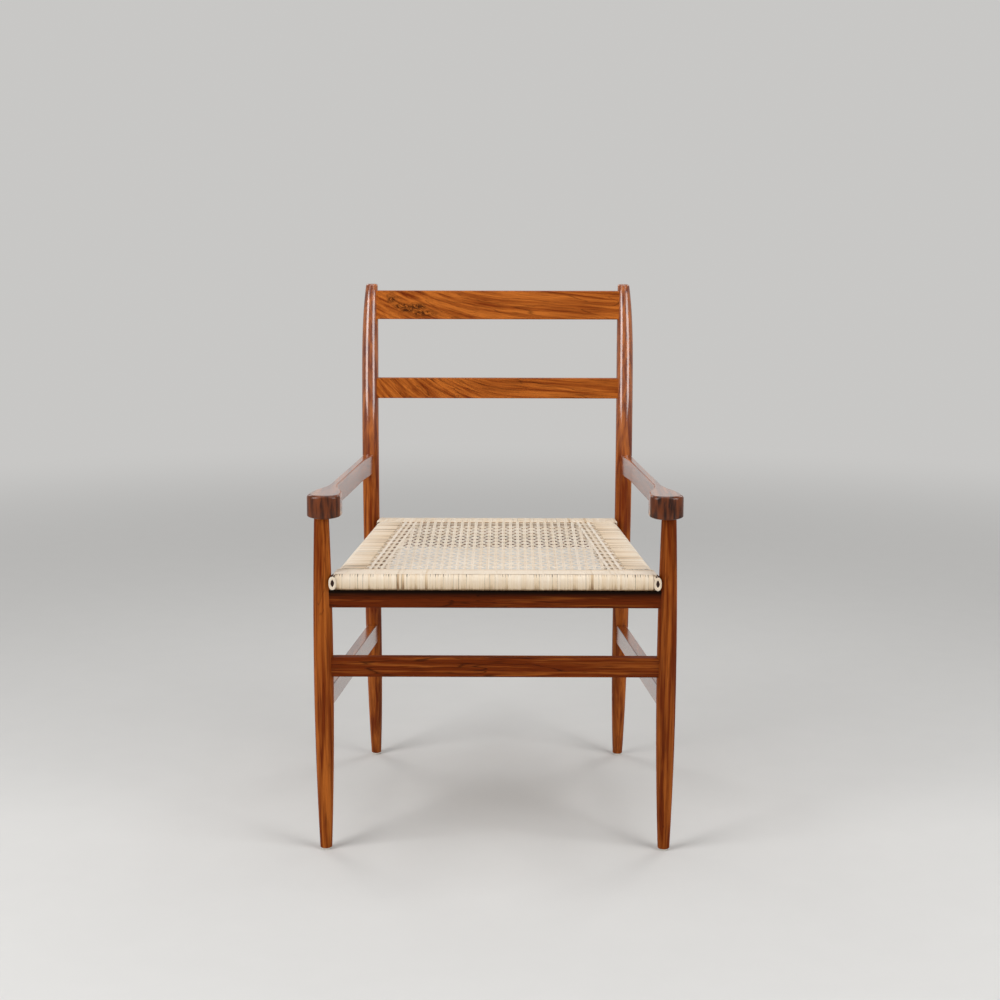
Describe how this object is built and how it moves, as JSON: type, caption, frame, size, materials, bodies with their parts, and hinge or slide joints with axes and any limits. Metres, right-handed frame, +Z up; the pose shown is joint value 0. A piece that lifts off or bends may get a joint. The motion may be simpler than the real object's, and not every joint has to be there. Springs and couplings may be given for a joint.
{
  "type": "dining armchair",
  "caption": "Dining armchair with a glossy rosewood frame of round tapered legs, slim arms flaring to paddles, slatted back and a hand-woven cane slip seat",
  "frame": {"origin": "middle of the floor area that the chair covers, on the floor", "axes": "+X to the right as the chair is seen from the front, +Y to its back, +Z up"},
  "size_m": [0.5638, 0.5648, 0.8425],
  "materials": {
    "rosewood": "glossy lacquer over oiled rosewood",
    "seat_wood": "planed and left bare under the cane",
    "cane": "split rattan cane, natural gloss",
    "steel": "bright zinc plate",
    "glide": "moulded nylon"
  },
  "bodies": {
    "root": {"front_leg_left": "rosewood", "front_leg_right": "rosewood", "back_post_left": "rosewood", "back_post_right": "rosewood", "armrest_left": "rosewood", "armrest_right": "rosewood", "crest_rail": "rosewood", "back_slat": "rosewood", "front_seat_rail": "rosewood", "back_seat_rail": "rosewood", "front_stretcher": "rosewood", "side_stretcher_left": "rosewood", "side_stretcher_right": "rosewood", "seat_frame_front": "seat_wood", "seat_frame_back": "seat_wood", "seat_frame_left": "seat_wood", "seat_frame_right": "seat_wood", "cane_wrap_front": "cane", "cane_wrap_back": "cane", "cane_wrap_left": "cane", "cane_wrap_right": "cane", "cane_lengthwise": "cane", "cane_crosswise": "cane", "cane_diagonal_left": "cane", "cane_diagonal_right": "cane", "seat_screws": "steel", "foot_glides": "glide"}
  },
  "joints": []
}
